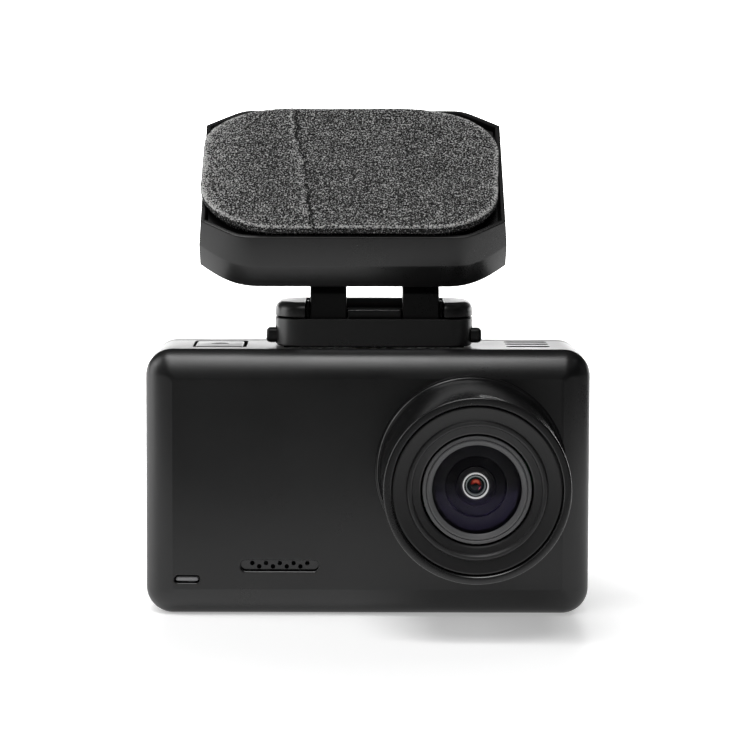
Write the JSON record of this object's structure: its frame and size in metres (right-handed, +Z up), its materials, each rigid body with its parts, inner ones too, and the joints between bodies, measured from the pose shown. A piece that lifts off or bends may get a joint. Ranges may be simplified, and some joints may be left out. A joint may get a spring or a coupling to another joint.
{
  "type": "dash camera",
  "caption": "Box-shaped dash camera with a wide fixed lens barrel, a rear screen and buttons, and a release foot carrying a tilting foam-padded windscreen mount.",
  "frame": {"origin": "middle of the flat resting face on the underside of the casing", "axes": "+Z up, -Y the way the lens looks, +X to the right of a person facing the lens"},
  "size_m": [0.084, 0.0592, 0.0955],
  "materials": {
    "casing": "black moulded plastic with a fine satin texture",
    "mount_plastic": "black moulded plastic, slightly smoother than the casing",
    "lens_trim": "satin black anodised and painted rings",
    "black_gloss": "glossy black plastic",
    "screen": "black cover glass over the display",
    "lens_glass": "coated optical glass",
    "circuit_board": "green printed circuit board",
    "steel": "bright steel",
    "brass": "bare brass",
    "grey_plastic": "pale grey translucent plastic",
    "ceramic": "fired ceramic",
    "foam": "charcoal closed-cell foam with a rough cut face"
  },
  "bodies": {
    "camera": {"front_shell": "casing", "rear_cover": "casing", "lens_housing": "casing", "screen_glass": "screen", "display_panel": "grey_plastic", "main_board": "circuit_board", "button_board": "circuit_board", "contact_board": "circuit_board", "shield_can": "steel", "supercapacitor_lower": "black_gloss", "supercapacitor_upper": "black_gloss", "usb_socket": "steel", "card_socket": "steel", "microphone": "steel", "speaker": "grey_plastic", "speaker_grille": "black_gloss", "indicator_light_pipe": "grey_plastic", "lens_front_ring": "lens_trim", "lens_barrel": "lens_trim", "lens_retaining_ring": "lens_trim", "front_lens": "lens_glass", "middle_lens": "lens_glass", "rear_lens": "lens_glass", "filter_glass": "lens_glass", "aperture_ring": "black_gloss", "lens_holder": "black_gloss", "image_sensor": "circuit_board", "casing_screw_1": "steel", "casing_screw_2": "steel", "casing_screw_3": "steel", "casing_screw_4": "steel"},
    "foot": {"foot_base": "mount_plastic", "foot_cap": "mount_plastic", "hinge_axle": "steel", "contact_pins": "brass", "foot_screw_left": "steel", "foot_screw_right": "steel", "latch_spring_left": "steel", "latch_spring_right": "steel", "friction_washer_left": "brass", "friction_washer_right": "brass"},
    "head": {"head_shell": "mount_plastic", "head_tray": "mount_plastic", "head_screw_left": "steel", "head_screw_right": "steel", "foam_pad": "foam", "gps_board": "circuit_board", "gps_antenna": "ceramic"},
    "latch_left": {"latch_left": "mount_plastic"},
    "latch_right": {"latch_right": "mount_plastic"},
    "port_cover": {"port_cover": "casing"},
    "memory_card": {"memory_card": "black_gloss"},
    "button_menu": {"button_menu": "mount_plastic"},
    "button_down": {"button_down": "mount_plastic"},
    "button_up": {"button_up": "mount_plastic"},
    "button_power": {"button_power": "mount_plastic"}
  },
  "joints": [
    {"name": "mount_release", "type": "slide", "parent": "camera", "child": "foot", "axis": [0, 0, 1], "range_m": [0, 0.03]},
    {"name": "head_tilt", "type": "hinge", "parent": "foot", "child": "head", "pos_m": [0, -0.0028, 0.0562], "axis": [1, 0, 0], "range_deg": [-40, 30]},
    {"name": "latch_left_press", "type": "slide", "parent": "foot", "child": "latch_left", "axis": [1, 0, 0], "range_m": [0, 0.001], "stiffness_N_per_m": 900, "deforming": ["latch_spring_left"]},
    {"name": "latch_right_press", "type": "slide", "parent": "foot", "child": "latch_right", "axis": [-1, 0, 0], "range_m": [0, 0.001], "stiffness_N_per_m": 900, "deforming": ["latch_spring_right"]},
    {"name": "port_cover_open", "type": "hinge", "parent": "camera", "child": "port_cover", "pos_m": [-0.0283, -0.0061, 0.0499], "axis": [1, 0, 0], "range_deg": [0, 85]},
    {"name": "memory_card_eject", "type": "slide", "parent": "camera", "child": "memory_card", "axis": [-1, 0, 0], "range_m": [0, 0.012]},
    {"name": "menu_press", "type": "slide", "parent": "camera", "child": "button_menu", "axis": [0, -1, 0], "range_m": [0, 0.0005], "stiffness_N_per_m": 1200},
    {"name": "down_press", "type": "slide", "parent": "camera", "child": "button_down", "axis": [0, -1, 0], "range_m": [0, 0.0005], "stiffness_N_per_m": 1200},
    {"name": "up_press", "type": "slide", "parent": "camera", "child": "button_up", "axis": [0, -1, 0], "range_m": [0, 0.0005], "stiffness_N_per_m": 1200},
    {"name": "power_press", "type": "slide", "parent": "camera", "child": "button_power", "axis": [0, -1, 0], "range_m": [0, 0.0005], "stiffness_N_per_m": 1200}
  ]
}
